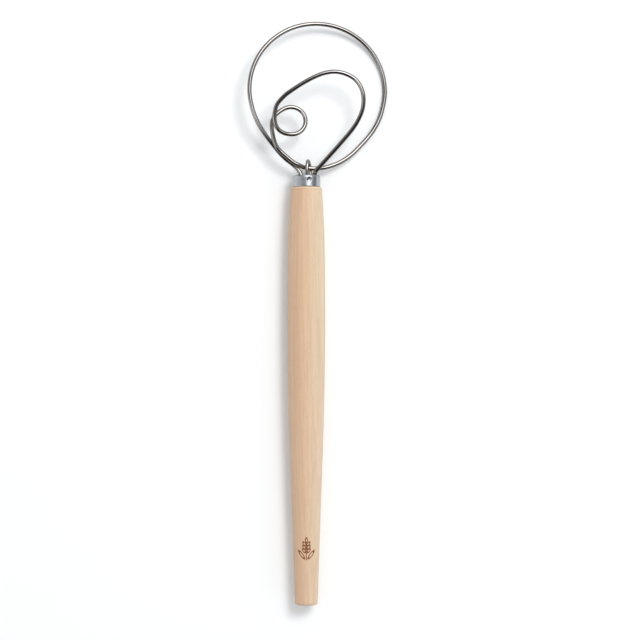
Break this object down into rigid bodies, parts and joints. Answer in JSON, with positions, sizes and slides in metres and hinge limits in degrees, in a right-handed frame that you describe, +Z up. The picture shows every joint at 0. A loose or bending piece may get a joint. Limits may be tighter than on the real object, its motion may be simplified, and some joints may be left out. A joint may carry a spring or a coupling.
{
  "type": "dough whisk",
  "caption": "Hand dough whisk with a turned wooden handle, a steel ferrule and a head bent from one wire: an outer ring, a small loop and a raised teardrop loop.",
  "frame": {"origin": "centre of the footprint, on the table the tool lies on", "axes": "+Y along the handle from the butt to the wire head, +Z up from the table, +X to the right seen from above with the head away from the viewer"},
  "size_m": [0.0814, 0.3394, 0.0242],
  "materials": {
    "beech": "satin",
    "zinc_steel": "satin",
    "resin": "satin",
    "stainless_wire": "gloss"
  },
  "bodies": {
    "root": {"handle": "beech", "ferrule": "zinc_steel", "adhesive_plug": "resin", "retaining_staple": "stainless_wire", "whisk_wire": "stainless_wire"}
  },
  "joints": []
}
